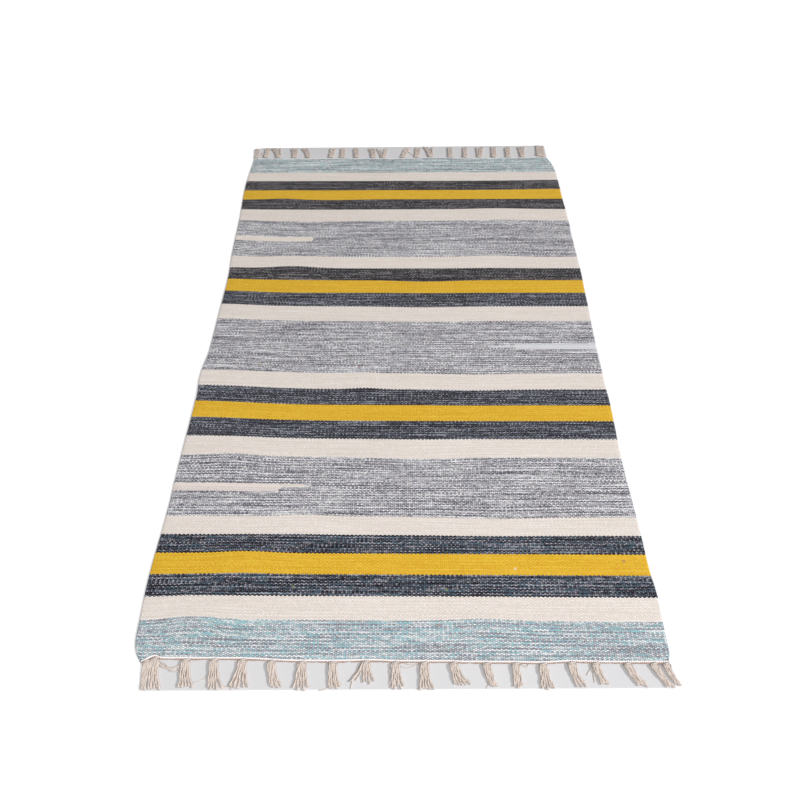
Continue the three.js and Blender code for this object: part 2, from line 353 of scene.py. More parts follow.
# %% [markdown]
# Everything else on the rug is yarn: the two yarns of a heading, the loops of a selvedge, the yarns
# of a tassel. Each starts as one short straight tube, with a UV map that says how far along and how
# far round the yarn a place is. It is cut into rings along its length, so that it can bend, and an
# Array modifier repeats it.

# %% A straight yarn
def tube(name, sides, rings, radius, length, ends="NOTHING"):
    """A straight tube along +X, from 0 to its length, in millimetres. Its map "yarn" holds how far
    along it a place is, in metres, and how far round, from 0 to 1."""
    deselect_everything()
    bpy.ops.mesh.primitive_cylinder_add(
        vertices=sides, radius=radius, depth=length, end_fill_type=ends, rotation=(0, math.pi / 2, 0)
    )
    made = bpy.context.object
    made.name = name
    made.data.name = name
    bpy.ops.object.transform_apply(location=False, rotation=True, scale=False)
    bpy.ops.object.mode_set(mode="EDIT")
    bpy.ops.mesh.select_mode(type="EDGE")
    bpy.ops.mesh.select_all(action="DESELECT")
    bpy.ops.object.mode_set(mode="OBJECT")
    for edge in made.data.edges:
        first, second = [made.data.vertices[index].co.x for index in edge.vertices]
        edge.select = abs(first - second) > length / 2
    bpy.ops.object.mode_set(mode="EDIT")
    bpy.ops.mesh.subdivide(number_cuts=rings - 1)
    bpy.ops.object.mode_set(mode="OBJECT")
    made.data.transform(Matrix.Translation((length / 2, 0, 0)))
    made.data.uv_layers[0].name = "yarn"
    return made


def repeated(piece, count, step):
    """Repeats a piece along +X with an Array modifier, and applies it."""
    deselect_everything()
    piece.select_set(True)
    bpy.context.view_layer.objects.active = piece
    copies = piece.modifiers.new("copies", "ARRAY")
    copies.count = count
    copies.use_relative_offset = False
    copies.use_constant_offset = True
    copies.constant_offset_displace = (step, 0, 0)
    bpy.ops.object.modifier_apply(modifier=copies.name)


def write_length(mesh, lengths):
    """Writes how far along its yarn each vertex is, in millimetres, and keeps how far round."""
    layer = mesh.uv_layers["yarn"]
    pairs = np.empty(len(mesh.loops) * 2)
    layer.data.foreach_get("uv", pairs)
    along = lengths[corner_vertices(mesh)] * MM
    layer.data.foreach_set("uv", np.column_stack([along, pairs[::2]]).ravel())


print("a yarn starts as a tube along X")

# %% [markdown]
# A yarn never lies straight. Its route is given by the few places that it passes, and a smooth curve
# is drawn through them. The tube is then laid on that curve ring by ring. A Curve modifier could lay
# one yarn at a time, but several hundred of them are quicker to lay with a few lines of numpy, and
# the straight yarn stays easy to shape.

# %% Lay a yarn on its route
ROUTE_POINTS = 24
LEAST_LENGTH = 1e-6  # keeps a route that points straight up from being divided by nothing


def smooth_route(turns, count=ROUTE_POINTS):
    """A smooth line through a few places, as a Catmull-Rom curve."""
    turns = np.array(turns, float)
    padded = np.vstack([2 * turns[0] - turns[1], turns, 2 * turns[-1] - turns[-2]])
    share = np.linspace(0, len(turns) - 1, count)
    start = np.minimum(share.astype(int), len(turns) - 2)
    t = (share - start)[:, None]
    before, here, there, after = (padded[start + k] for k in range(4))
    bend = (2 * before - 5 * here + 4 * there - after) * t**2
    twist = (3 * here - before - 3 * there + after) * t**3
    return here + ((there - before) * t + bend + twist) / 2


def laid(points, route):
    """Lays the points of a straight piece onto a route, stretched to the route's whole length."""
    reached = np.concatenate([[0], np.cumsum(np.linalg.norm(np.diff(route, axis=0), axis=1))])
    along = points[:, 0] / points[:, 0].max() * reached[-1]
    heading = np.gradient(route, reached, axis=0)
    centre = np.column_stack([np.interp(along, reached, route[:, k]) for k in range(3)])
    ahead = np.column_stack([np.interp(along, reached, heading[:, k]) for k in range(3)])
    ahead = ahead / np.linalg.norm(ahead, axis=1)[:, None]
    aside = np.cross([0, 0, 1], ahead)
    aside = aside / np.maximum(np.linalg.norm(aside, axis=1), LEAST_LENGTH)[:, None]
    above = np.cross(ahead, aside)
    return centre + aside * points[:, 1:2] + above * points[:, 2:3]


print("points on a route:", ROUTE_POINTS)

# %% [markdown]
# Both headings are cords: two yarns of warp cotton twined round each other along the last pick. One
# turn of the twist is modelled from two short tubes, which an Array modifier repeats. The line that
# the cord follows is felt on its CAD node, as the edges of the cloth were.

# %% Twined headings
HEADING_TURN = 7.0  # the length of one whole turn of the twist
HEADING_RINGS = 8
HEADING_SIDES = 7
HEADING_YARN = 2.6  # the diameter of one of its two yarns
HEADING_ORBIT = 0.8  # how far each yarn runs from the middle of the cord
HEADING_HEIGHT = 4.0
MERGE_WITHIN = 0.001  # vertices this close are one, where two turns meet


def heading_line(node):
    """The middle line of a CAD heading, felt from both sides of it."""
    tree = search_tree(node)
    where, near_side = felt_edge(tree, 1, -1, across_stations)
    _, far_side = felt_edge(tree, 1, 1, across_stations)
    return where, (near_side + far_side) / 2


def twined_cord(name, line):
    """The two yarns of a heading, twined and laid along a line."""
    where, places = line
    parts = [tube(name, HEADING_SIDES, HEADING_RINGS, HEADING_YARN / 2, HEADING_TURN) for _ in range(2)]
    for index, part in enumerate(parts):
        for vertex in part.data.vertices:
            angle = 2 * math.pi * vertex.co.x / HEADING_TURN + index * math.pi
            vertex.co.y += HEADING_ORBIT * math.cos(angle)
            vertex.co.z += HEADING_ORBIT * math.sin(angle)
    cord = joined(parts, name)
    length = where[-1] - where[0] + FEEL_STEP
    repeated(cord, round(length / HEADING_TURN), HEADING_TURN)
    bpy.ops.object.mode_set(mode="EDIT")
    bpy.ops.mesh.select_all(action="SELECT")
    bpy.ops.mesh.remove_doubles(threshold=MERGE_WITHIN)
    bpy.ops.mesh.fill_holes(sides=HEADING_SIDES)
    bpy.ops.mesh.normals_make_consistent(inside=False)
    bpy.ops.object.mode_set(mode="OBJECT")
    straight = straight_points(cord.data)
    write_length(cord.data, straight[:, 0])
    height = HEADING_HEIGHT / 2 + swell(where, places)
    place_points(cord.data, laid(straight, np.column_stack([where, places, height])))
    bpy.ops.object.shade_smooth()
    print(name, "is", round(length), "mm long")
    return cord


heading_lines = {end: heading_line(end + "_heading") for end in ("near", "far")}
headings = {end: twined_cord(end + "_twined_heading", heading_lines[end]) for end in ("near", "far")}

# %% [markdown]
# At a selvedge the weft turns round the outermost warp and goes back as the next pick. Each turn
# shows as a small rounded loop, and the row of loops gives a kilim its soft, slightly toothed sides.
# The loops are modelled, not painted, because they draw the rug's outline. A loop carries the weave
# coordinates of its own pick on all its faces, so the weave's material gives it that pick's colour.
# Each side has a loop for every second pick, because the other picks turn at the other side.

# %% Looped selvedges
WARP_PITCH = 3.85
PICK_COUNT = 1035
PICK_PITCH = 2 * HALF_LENGTH / PICK_COUNT
LOOP_SIDES = 7
LOOP_RINGS = 6
LOOP_YARN = 1.9  # how thick the pressed yarn of a loop is
LOOP_DEPTH = 2.6  # how far a loop reaches in from the edge
LOOP_LOOSE = 0.9  # how far the loosest loops stand out from the cloth's edge
LOOP_PROUD = 0.15  # how far a loop stands above the cloth's face and below its back
LOOP_POINTS = 12
LOOP_ROUNDS = 3


def selvedge(name, edge, side):
    """All the loops of one selvedge. side is -1 for the left one and 1 for the right one."""
    outer_warp = round(side * HALF_WIDTH / WARP_PITCH)
    first_pick = -(PICK_COUNT // 2) + (outer_warp + PICK_COUNT // 2) % 2
    picks = np.arange(first_pick, PICK_COUNT // 2 + 1, 2)
    loops = tube(name, LOOP_SIDES, LOOP_RINGS, LOOP_YARN / 2, 1)
    repeated(loops, len(picks), 2)
    blocks = straight_points(loops.data).reshape(len(picks), -1, 3)
    weave_map = []
    for index, (block, pick) in enumerate(zip(blocks, picks)):
        weave_along = pick * PICK_PITCH
        along = weave_along
        for _ in range(LOOP_ROUNDS):
            across = np.interp(along, *edge)
            along = weave_along + pushed(across, along)
        out = across + side * LOOP_LOOSE * dice.random() ** 3
        half_height = CLOTH_THICKNESS / 2 - LOOP_YARN / 2 + LOOP_PROUD
        middle_height = CLOTH_THICKNESS / 2 + swell(across, along)
        angles = np.linspace(-math.pi / 2, math.pi / 2, LOOP_POINTS)
        route = np.column_stack(
            [
                out - side * (LOOP_YARN / 2 + LOOP_DEPTH * (1 - np.cos(angles))),
                along + PICK_PITCH / 2 * np.sin(angles),
                middle_height + half_height * np.sin(angles),
            ]
        )
        straight = block - [2 * index, 0, 0]
        straight[:, 1] *= 2 * PICK_PITCH / LOOP_YARN
        blocks[index] = laid(straight, route)
        weave_map.append(np.tile([outer_warp * WARP_PITCH, weave_along], (len(block), 1)))
    place_points(loops.data, blocks.reshape(-1, 3))
    write_map(loops.data, "weave", np.concatenate(weave_map) * MM)
    bpy.ops.object.shade_smooth()
    print(name, "has", len(picks), "loops")
    return loops


selvedges = [
    selvedge("left_selvedge_loops", left_edge, -1),
    selvedge("right_selvedge_loops", right_edge, 1),
]

# %% [markdown]
# A tassel is a bunch of warp ends, gathered from both sides and tied in an overhand knot against the
# heading. From above, its knot is a small lump of crossing yarns, and below it the yarns fan out and
# lie on the floor. The CAD node has a knot and five locks, some of which stray. So where the knot is,
# and where each lock bends and ends, is measured from the node's vertices and not typed in again.

# %% Measure the CAD tassels
KNOT_TOP_BAND = 0.2  # vertices within this of a tassel's highest one are its knot's top
LOCK_COUNT = 5
LOCK_TOP = 1.5  # the upper side of a lock is above this
BEND_BAND = (0.4, 0.65)  # where a lock bends, as shares of the tassel's reach
TIP_BAND = (0.75, 1.01)


def lock_places(points, reach, band):
    """The middle of each lock where its share of the tassel's reach is within a band."""
    share = reach / reach.max()
    inside = (share > band[0]) & (share < band[1]) & (points[:, 2] > LOCK_TOP)
    from_left = np.unique(points[inside].round(2), axis=0)
    return [lock.mean(axis=0) for lock in np.array_split(from_left, LOCK_COUNT)]


def measured_tassel(node, outward):
    """Where a CAD tassel has its knot, and where its locks bend and end."""
    points = straight_points(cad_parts[node].data) / MM - np.array(TO_FRAME)
    top = points[points[:, 2] > points[:, 2].max() - KNOT_TOP_BAND]
    knot = top.mean(axis=0)
    reach = (points[:, 1] - knot[1]) * outward
    return {
        "node": node,
        "outward": outward,
        "knot": knot,
        "bends": lock_places(points, reach, BEND_BAND),
        "tips": lock_places(points, reach, TIP_BAND),
    }


OUTWARD = {"near": -1, "far": 1}
tassel_facts = []
for name in sorted(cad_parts):
    for end in OUTWARD:
        if name.startswith(end + "_tassel"):
            tassel_facts.append(measured_tassel(name, OUTWARD[end]))
print("tassels measured:", len(tassel_facts))

# %% [markdown]
# Each tassel has fifteen yarns. Five lie at the bottom, between the locks. The other ten lie on those
# in pairs, and the two of a pair turn round each other, because warp ends that hang loose together
# twist into a lock. The locks catch the light, and the gaps between them are dark. Cotton that was
# woven once keeps its crimp, so the locks also wave a little and don't look combed. A yarn's way is
# worked out from three measured places: the knot that it leaves, where its CAD lock bends, and the tip.

# %% The ways of a tassel's yarns
LOCK_YARNS = 2
BOTTOM_YARNS = 5
YARN_COUNT = LOCK_COUNT * LOCK_YARNS + BOTTOM_YARNS
YARN_RADIUS = 1.3
LOCK_ORBIT = 0.8  # how far each yarn of a lock runs from the lock's middle
LOCK_TURN = 38.0  # the length in which they turn round each other once
LOCK_HEIGHT = (3.7, 2.3)  # the middle of a lock after the knot, and at its tip
YARN_WAVE = 0.9  # how far a lock waves to both sides
LOCK_SHORT = (4.0, 0.0)  # how much shorter than in CAD a lock is, from and to
BOTTOM_SHORT = (3.0, 8.0)  # the same for a bottom yarn
YARN_TURNS = (0, 0.1, 0.22, 0.34, 0.46, 0.58, 0.7, 0.85, 1)  # the places on its way, as shares of it
DOWN_BY = 0.4  # the share of its way by which a yarn has come down from the knot
KNOT_HALF_WIDTH = 7.0
KNOT_HEIGHT = 6.0
ROOT_HEIGHT = 3.8  # where the yarns come out of the knot


def lock_line(facts, lock, shorter):
    """The places that a lock passes, by the shares of its way. Locks are counted from the left, and
    half a lock is a place between two."""
    left = min(int(lock), LOCK_COUNT - 2)
    part = lock - left
    bend = facts["bends"][left] * (1 - part) + facts["bends"][left + 1] * part
    tip = facts["tips"][left] * (1 - part) + facts["tips"][left + 1] * part
    tip = tip - [0, facts["outward"] * shorter, 0]
    across = (2 * lock / (LOCK_COUNT - 1) - 1) * (KNOT_HALF_WIDTH - YARN_RADIUS)
    root = facts["knot"] + [across, 0, 0]
    places = []
    for share in YARN_TURNS:
        place = root * (1 - share) * (1 - 2 * share)
        place = place + bend * 4 * share * (1 - share) + tip * share * (2 * share - 1)
        places.append(place + [YARN_WAVE * dice.uniform(-1, 1) * min(1, share * 4), 0, 0])
    return np.array(places)


def lowered(share, resting):
    """The height of a yarn that comes down from the knot to where it rests."""
    return resting + (ROOT_HEIGHT - resting) * max(1 - share / DOWN_BY, 0) ** 2


def yarn_routes(facts):
    """A route for each yarn of a tassel, from inside its knot to its tip."""
    routes = []
    reach = np.linalg.norm(facts["tips"][0] - facts["knot"])
    for lock in range(LOCK_COUNT):
        line = lock_line(facts, lock, dice.uniform(*LOCK_SHORT))
        first_turn = dice.uniform(0, 2 * math.pi)
        for mate in range(LOCK_YARNS):
            turns = []
            for share, place in zip(YARN_TURNS, line):
                angle = first_turn + 2 * math.pi * (mate / LOCK_YARNS + share * reach / LOCK_TURN)
                resting = LOCK_HEIGHT[0] * (1 - share) + LOCK_HEIGHT[1] * share
                height = lowered(share, resting) + LOCK_ORBIT * math.sin(angle)
                turns.append((place[0] + LOCK_ORBIT * math.cos(angle), place[1], height))
            routes.append(smooth_route(turns))
    for index in range(BOTTOM_YARNS):
        lock = (index + 0.5) * (LOCK_COUNT - 1) / BOTTOM_YARNS
        line = lock_line(facts, lock, dice.uniform(*BOTTOM_SHORT))
        turns = [(p[0], p[1], lowered(share, YARN_RADIUS)) for share, p in zip(YARN_TURNS, line)]
        routes.append(smooth_route(turns))
    return routes


print("yarns in a tassel:", YARN_COUNT)

# %% [markdown]
# One yarn is a straight tube, a little thinner towards its tip and frayed at the very end. The fifteen
# of a tassel are copies of it, made by one Array modifier and laid on their ways in one go.

# %% The yarns of a tassel
YARN_SIDES = 5
YARN_RINGS = 10
YARN_LENGTH = 40.0
YARN_TAPER = 0.12
TIP_FRAY = 0.25  # how much wider the frayed end is
TIP_FROM = 0.99  # only its last ring is past this share of its length


def yarn_bunch(name, facts):
    """The yarns of one tassel."""
    bunch = tube(name, YARN_SIDES, YARN_RINGS, YARN_RADIUS, YARN_LENGTH, ends="NGON")
    for vertex in bunch.data.vertices:
        share = vertex.co.x / YARN_LENGTH
        girth = 1.0 - YARN_TAPER * share + (TIP_FRAY if share > TIP_FROM else 0)
        vertex.co.y *= girth
        vertex.co.z *= girth
    repeated(bunch, YARN_COUNT, 2 * YARN_LENGTH)
    blocks = straight_points(bunch.data).reshape(YARN_COUNT, -1, 3)
    straight = blocks[0].copy()
    write_length(bunch.data, np.tile(straight[:, 0], YARN_COUNT))
    for index, route in enumerate(yarn_routes(facts)):
        blocks[index] = laid(straight, route)
    place_points(bunch.data, blocks.reshape(-1, 3))
    return bunch


print("faces on a tassel's yarn:", YARN_SIDES * YARN_RINGS + 2)

# %% [markdown]
# An overhand knot shows as a few turns of yarn that cross the bunch. Each turn starts as a torus. It is
# drawn out to the knot's width, pressed to its height and tilted, each the other way than the last, so
# the turns seem to cross. The yarns and the turns of a tassel are then joined into one piece.

# %% Knotted tassels
KNOT_HALF_LENGTH = 3.4
KNOT_OUT = 0.8  # from the middle of the CAD knot, away from the heading
KNOT_TURNS = 4
KNOT_YARN = 1.35  # the radius of the yarns that show on a knot
KNOT_SEGMENTS = 12
KNOT_SIDES = 5
KNOT_TILT = math.radians(13)
KNOT_UNEVEN = (0.6, 1.1)  # a turn is tilted by this share of it
RING_TUBE = 0.25  # how thick the torus is before it is shaped, at a radius of 1


def knot_turn(facts, index):
    """One turn of yarn across a knot: a ring round the bunch, flattened and tilted."""
    deselect_everything()
    bpy.ops.mesh.primitive_torus_add(
        major_segments=KNOT_SEGMENTS, minor_segments=KNOT_SIDES, major_radius=1, minor_radius=RING_TUBE
    )
    turn = bpy.context.object
    turn.data.uv_layers[0].name = "yarn"
    straight = straight_points(turn.data)
    ring = np.linalg.norm(straight[:, :2], axis=1) - 1
    angle = np.arctan2(straight[:, 1], straight[:, 0])
    thick = ring * KNOT_YARN / RING_TUBE
    tilt = KNOT_TILT * (1 if index % 2 else -1) * dice.uniform(*KNOT_UNEVEN)
    place = (index - (KNOT_TURNS - 1) / 2) * 2 * KNOT_HALF_LENGTH / KNOT_TURNS
    x = np.cos(angle) * (KNOT_HALF_WIDTH - KNOT_YARN + thick)
    z = KNOT_HEIGHT / 2 + np.sin(angle) * (KNOT_HEIGHT / 2 - KNOT_YARN + thick)
    y = place + straight[:, 2] * KNOT_YARN / RING_TUBE + x * math.tan(tilt) + facts["outward"] * KNOT_OUT
    knot_x, knot_y, _ = facts["knot"]
    place_points(turn.data, np.column_stack([knot_x + x, knot_y + y, z]))
    return turn


def tassel(facts):
    """A whole tassel: its yarns and the turns of its knot."""
    name = facts["node"].replace("tassel", "knotted_tassel")
    parts = [yarn_bunch(name, facts)]
    parts += [knot_turn(facts, index) for index in range(KNOT_TURNS)]
    return joined(parts, name)


tassels = {facts["node"]: tassel(facts) for facts in tassel_facts}
print("tassels made:", len(tassels))

# %% [markdown]
# Between two tassels the warp ends run along the outer edge of the heading until they reach the knot
# they are tied into. They show as a thin tan line under the white heading, thickest beside the knots.
# Each thread is one more tube. It comes out from under the heading at its own warp, runs along it and
# dips under the yarns of its tassel. A thread that comes from further away lies further out.

# %% Gathered warps
GATHER_STARTS = (9.0, 15.0, 21.0, 28.0)  # how far from the knot each thread leaves the weave
GATHER_RADIUS = 0.6
GATHER_SIDES = 5
GATHER_RINGS = 6
GATHER_OUT = 1.6  # from the heading's middle line to the first thread
GATHER_APART = 0.45  # from one thread to the next
GATHER_UNEVEN = (0.7, 1.3)  # they lie this share of it apart
GATHER_HIDDEN = {"away": 0.4, "height": 1.2}  # where a thread starts, under the heading
GATHER_SHOWN = {"beside": 0.8, "height": 1.0}  # where it has come out, as a share of its way to the knot
GATHER_STACK = 0.2  # how much higher each further thread runs
GATHER_BESIDE = (7.0, 3.0)  # how far from the knot's middle a thread starts to dip, and where it ends


def gathered_warps(end):
    """The warp ends that run along one heading into its knots."""
    outward = OUTWARD[end]
    knots = [facts["knot"] for facts in tassel_facts if facts["outward"] == outward]
    line = heading_lines[end]
    ranks = range(len(GATHER_STARTS))
    ways = [(knot, side, rank) for knot in knots for side in (-1, 1) for rank in ranks]
    threads = tube(end + "_gathered_warps", GATHER_SIDES, GATHER_RINGS, GATHER_RADIUS, 1)
    repeated(threads, len(ways), 2)
    blocks = straight_points(threads.data).reshape(len(ways), -1, 3)
    straight = blocks[0].copy()
    write_length(threads.data, np.tile(straight[:, 0] * GATHER_STARTS[-1], len(ways)))
    for index, (knot, side, rank) in enumerate(ways):
        out = GATHER_OUT + GATHER_APART * rank * dice.uniform(*GATHER_UNEVEN)
        turns = []
        for beside, away, height in (
            (GATHER_STARTS[rank], GATHER_HIDDEN["away"], GATHER_HIDDEN["height"]),
            (GATHER_STARTS[rank] * GATHER_SHOWN["beside"], out, GATHER_SHOWN["height"]),
            (GATHER_BESIDE[0], out, GATHER_RADIUS + GATHER_STACK * rank),
            (GATHER_BESIDE[1], out + 1, GATHER_RADIUS),
        ):
            across = np.clip(knot[0] + side * beside, line[0][0], line[0][-1])
            turns.append((across, np.interp(across, *line) + outward * away, height))
        blocks[index] = laid(straight, smooth_route(turns))
    place_points(threads.data, blocks.reshape(-1, 3))
    deselect_everything()
    threads.select_set(True)
    bpy.ops.object.shade_smooth()
    print(end, "gathered warps:", len(ways))
    return threads


gathered = [gathered_warps(end) for end in OUTWARD]

# %% [markdown]
# A few threads have worked loose and lie between the tassels in curls and loops. Each is a row of a
# table: how thick it is, and the places that it passes on the floor, across and along in millimetres.

# %% Loose threads
LOOSE_THREADS = table(
    "radius places",
    (1.5, [(-401, -750), (-392, -758), (-384, -761), (-375, -762), (-368, -760), (-354, -753)]),
    (1.0, [(-397, -752), (-385, -756), (-379, -764), (-371, -767), (-357, -767), (-352, -772)]),
    (0.8, [(-354, -751), (-358, -755), (-363, -758), (-364, -764), (-360, -768), (-354, -769)]),
    (0.5, [(-335, -784), (-327, -782), (-320, -779), (-311, -772)]),
    (0.8, [(-288, -786), (-285, -792), (-279, -790), (-274, -791), (-270, -795)]),
    (0.7, [(-111, -785), (-115, -791), (-121, -794), (-128, -795)]),
    (0.9, [(-61, -752), (-67, -762), (-73, -776), (-76, -792)]),
    (0.6, [(3, -751), (10, -751), (18, -753), (27, -753), (35, -751)]),
    (0.6, [(4, -755), (10, -758), (18, -758), (27, -755), (35, -753)]),
    (0.8, [(-9, -755), (-15, -763), (-12, -774), (-14, -782), (-8, -791)]),
    (0.6, [(141, -752), (143, -768), (147, -778), (147, -784), (144, -790)]),
    (0.8, [(204, -751), (209, -755), (214, -755), (216, -751)]),
    (0.8, [(323, -750), (318, -757), (310, -768)]),
    (0.8, [(324, -752), (321, -764), (321, -780)]),
    (0.8, [(-438, 759), (-433, 769), (-434, 785), (-426, 763)]),
    (0.8, [(-381, 764), (-397, 796), (-407, 802), (-413, 795)]),
    (0.8, [(6, 760), (12, 788), (19, 780), (29, 767)]),
)
LOOSE_SIDES = 6
LOOSE_RINGS = 16
LOOSE_POINTS = 40


def loose_thread(number, row):
    """One loose thread, lying on the floor."""
    thread = tube("loose_thread_" + str(number), LOOSE_SIDES, LOOSE_RINGS, row["radius"], 1, ends="NGON")
    straight = straight_points(thread.data)
    turns = [(across, along, row["radius"]) for across, along in row["places"]]
    route = smooth_route(turns, LOOSE_POINTS)
    length = np.linalg.norm(np.diff(route, axis=0), axis=1).sum()
    write_length(thread.data, straight[:, 0] * length)
    place_points(thread.data, laid(straight, route))
    return thread


curls = [loose_thread(number, row) for number, row in enumerate(LOOSE_THREADS)]
loose = joined(curls, "loose_threads")
print("loose threads:", len(LOOSE_THREADS))

# %% [markdown]
# Now the finishes. Cycles works in linear light and a maker picks colours by eye as sRGB hex, so one
# function turns the one into the other. One more small function adds a node, fills or links its
# inputs and hands it back.

# %% Helpers for finishes
def linear(code):
    """A hex colour such as "e9dfd7" as linear RGBA."""
    channels = [int(code[place : place + 2], 16) / 255 for place in (0, 2, 4)]
    return [c / 12.92 if c <= 0.04045 else ((c + 0.055) / 1.055) ** 2.4 for c in channels] + [1.0]


def add(tree, kind, inputs=None, **settings):
    """Adds a node, sets it up, fills or links its inputs, and returns it."""
    node = tree.nodes.new("ShaderNode" + kind)
    for name, value in settings.items():
        setattr(node, name, value)
    for socket, value in (inputs or {}).items():
        if isinstance(value, bpy.types.Node):
            value = value.outputs[0]
        if isinstance(value, bpy.types.NodeSocket):
            tree.links.new(value, node.inputs[socket])
        else:
            node.inputs[socket].default_value = value
    return node


def new_finish(name):
    """An empty material, its node tree and its output node."""
    finish = bpy.data.materials.new(name)
    finish.use_nodes = True
    finish.node_tree.nodes.clear()
    output = add(finish.node_tree, "OutputMaterial")
    return finish, finish.node_tree, output


print("bleached cotton in linear light:", [round(channel, 3) for channel in linear("fdfbfc")])

# %% [markdown]
# The weave is a weft-faced plain weave. Each pick of weft shows over every second warp and hides
# under the others, so the face is a lattice of small beads. A bead is widest over its warp and runs
# to a point on both sides, where the pick dives, so the beads fit together as rhombs do: two warps
# from point to point and two picks high. There are more than a hundred thousand of them, too many to
# model, so they are worked out in the material from the weave's own map: which warp, which pick, and
# where inside the bead. A stripe then changes from pick to pick, and its border gets the fine teeth
# that a woven stripe has.
#
# The weft is cotton, some of it plain and some of it marled, which means plied from yarns of several
# shades. Plain yarn hardly varies. Marled yarn shows now one shade and now another for a few
# centimetres, so each pick gets its own slow noise, which picks from the dark, middle and light
# shade of its yarn.

# %% Yarns and stripes
YARNS = table(
    "yarn dark middle light tint",
    ("aqua marl", "8b8791", "ccd5d8", "e9eeef", "98c8cf"),
    ("pale aqua marl", "6c727b", "d8dfe0", "fafcfc", "b4d4d7"),
    ("cream", "e4d9d0", "eee4dc", "f6efe9", "eee4dc"),
    ("blue black marl", "1a161e", "504b55", "abafb9", "526876"),
    ("slate marl", "232026", "57565f", "a9aeb9", "565c66"),
    ("charcoal marl", "1f1d20", "4f4c4f", "9a979b", "4f4c4f"),
    ("ochre", "deab2b", "eabb37", "f1c748", "eabb37"),
    ("grey marl", "5c5964", "cccacd", "f9f8fa", "bebdc3"),
)
STRIPES = table(
    "start yarn",
    (-750, "aqua marl"),
    (-679.5, "cream"),
    (-636, "blue black marl"),
    (-595, "ochre"),
    (-554, "blue black marl"),
    (-516, "cream"),
    (-477, "grey marl"),
    (-340.5, "cream"),
    (-295, "slate marl"),
    (-248, "ochre"),
    (-205.5, "slate marl"),
    (-161, "cream"),
    (-115, "grey marl"),
    (51, "cream"),
    (101.5, "slate marl"),
    (150, "ochre"),
    (196, "charcoal marl"),
    (241.5, "cream"),
    (287, "grey marl"),
    (439, "cream"),
    (491, "charcoal marl"),
    (538.5, "ochre"),
    (582.5, "charcoal marl"),
    (628, "cream"),
    (671, "pale aqua marl"),
)
shades_of = {row["yarn"]: row for row in YARNS}
print("stripes:", len(STRIPES), "of", len(YARNS), "yarns")

# %% [markdown]
# Where a bobbin ran out, the weaver put in what was at hand. Two short dashes of cream and one of a
# pale grey run in from the selvedges, and side says from which: -1 is the left one. Most of their
# picks stop short together, at the tip, and in two of the dashes a few picks run on and end in a
# point, so they have a second row. Here and there a fleck of another colour was spun into the yarn.

# %% Dashes and flecks
DASHES = table(
    "side along half_length tip taper colour",
    (-1, 361, 9.2, 234, 8, "f9eee2"),
    (1, -31.6, 9.2, 256, 8, "e3e4e7"),
    (1, -32.5, 3.3, 190, 20, "e3e4e7"),
    (-1, -413.4, 9, 230, 10, "f0e4dd"),
    (-1, -408.8, 3.5, 170, 20, "f0e4dd"),
)
DASH_PART = 0.8  # how far a dash's colour hides the shades of the yarn around it
FLECKS = table(
    "across along half_width half_length colour",
    (-320, -89, 3.5, 2, "b9b84e"),
    (-93, -96, 2.5, 2, "b4525a"),
    (408, -567, 2.5, 2, "8a5a78"),
    (67, -688, 3.5, 2, "8b6f4e"),
    (210, -583, 2.5, 2, "f3ead8"),
    (-188, -619, 2.5, 2, "9aa05a"),
    (85, -623, 2.5, 2, "9aa05a"),
    (432, -424, 3, 2, "6f5a4b"),
    (-120, -408, 53, 1.4, "4d4a52"),
)
FLECK_PART = 0.5  # how far a fleck hides the yarn that it is spun into
print("rows of dashes:", len(DASHES), "flecks:", len(FLECKS))

# %% [markdown]
# The lattice is cut by two sets of slanted lines. Half the sum of warps and picks counts the lines
# that rise to the right, and half their difference counts those that fall. Rounding both gives the
# bead's own two rows, and those give its warp and its pick. What rounding takes off says how far from
# the bead's middle a place is, along each slant. At the border of a stripe the last beads of one yarn
# swell out between the first of the next, so the border is a wave that turns at every warp. A colour
# ramp over the whole rug would be too coarse for this, because it holds only 256 places. So the borders
# that lie behind a place are counted, and that number says which stripe it is in.

# %% Where in the weave
TOOTH_PICKS = 0.6  # how far a border waves to both sides

weave, tree, output = new_finish("weft_faced_cotton")
weave_place = add(tree, "UVMap", uv_map="weave")
threads = add(
    tree,
    "VectorMath",
    {0: weave_place, 1: (1 / (WARP_PITCH * MM), 1 / (PICK_PITCH * MM), 1)},
    operation="MULTIPLY",
)
counted = add(tree, "SeparateXYZ", {0: threads})
warps = counted.outputs["X"]
picks = counted.outputs["Y"]
slant_rows = []
slant_places = []
for crossing in ("ADD", "SUBTRACT"):  # the lines that rise to the right, and then those that fall
    crossed = add(tree, "Math", {0: warps, 1: picks}, operation=crossing)
    slant = add(tree, "Math", {0: crossed, 1: 0.5}, operation="MULTIPLY")
    slant_row = add(tree, "Math", {0: slant}, operation="ROUND")
    slant_rows.append(slant_row)
    slant_places.append(add(tree, "Math", {0: slant, 1: slant_row}, operation="SUBTRACT"))
warp = add(tree, "Math", {0: slant_rows[0], 1: slant_rows[1]}, operation="ADD")
pick = add(tree, "Math", {0: slant_rows[0], 1: slant_rows[1]}, operation="SUBTRACT")
warp_turn = add(tree, "Math", {0: warps, 1: math.pi}, operation="MULTIPLY")
tooth = add(tree, "Math", {0: warp_turn}, operation="COSINE")
bordered = add(tree, "Math", {0: tooth, 1: TOOTH_PICKS, 2: picks}, operation="MULTIPLY_ADD")
border_place = add(tree, "Math", {0: bordered, 1: PICK_PITCH}, operation="MULTIPLY")
stripe_number = 0.5  # the middle of the first stripe's stop on the ramps below
for stripe in STRIPES[1:]:
    past = add(tree, "Math", {0: border_place, 1: stripe["start"]}, operation="GREATER_THAN")
    stripe_number = add(tree, "Math", {0: stripe_number, 1: past}, operation="ADD")
stripe_share = add(tree, "Math", {0: stripe_number, 1: 1 / len(STRIPES)}, operation="MULTIPLY")
print("weave map nodes:", len(tree.nodes))

